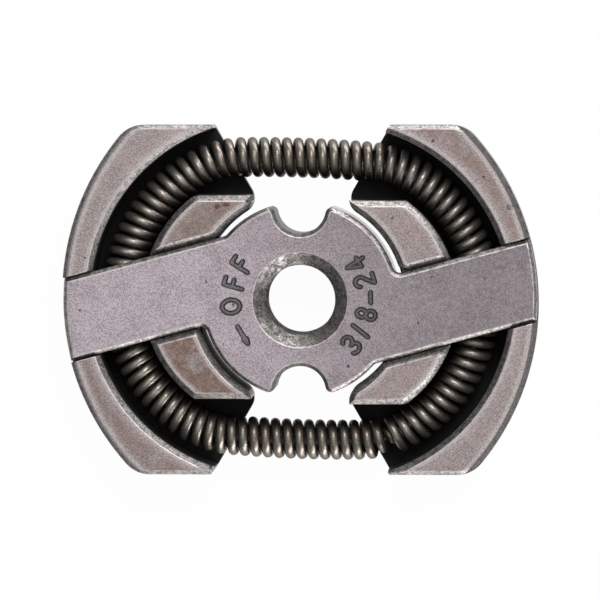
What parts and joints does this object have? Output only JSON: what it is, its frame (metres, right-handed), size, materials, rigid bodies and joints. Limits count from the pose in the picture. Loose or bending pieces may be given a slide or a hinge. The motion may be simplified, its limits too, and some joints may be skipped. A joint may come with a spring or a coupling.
{
  "type": "chainsaw clutch",
  "caption": "Centrifugal chainsaw clutch: a threaded hub with offset arms carries sliding friction shoes, held in by a ring-shaped coil spring that lies in their channels.",
  "frame": {"origin": "on the hub axis at the back faces, which lie on the table", "axes": "+Z along the hub axis towards the marked front face, +X from the left shoe to the right shoe"},
  "size_m": [0.0584, 0.0428, 0.012],
  "materials": {
    "spider_steel": "sintered steel, satin, with fine dark pits",
    "shoe_steel": "sintered steel, satin, with brown stains and dark pits",
    "spring_wire": "oil-darkened spring wire, semi-gloss"
  },
  "bodies": {
    "spider": {"spider": "spider_steel", "garter_spring": "spring_wire"},
    "left_shoe": {"left_shoe": "shoe_steel"},
    "right_shoe": {"right_shoe": "shoe_steel"}
  },
  "joints": [
    {"name": "left_shoe_slide", "type": "slide", "parent": "spider", "child": "left_shoe", "axis": [-0.9659, -0.2588, 0], "range_m": [0, 0.0017], "stiffness_N_per_m": 10600, "deforming": ["garter_spring"]},
    {"name": "right_shoe_slide", "type": "slide", "parent": "spider", "child": "right_shoe", "axis": [0.9659, 0.2588, 0], "range_m": [0, 0.0017], "stiffness_N_per_m": 10600, "deforming": ["garter_spring"]}
  ]
}
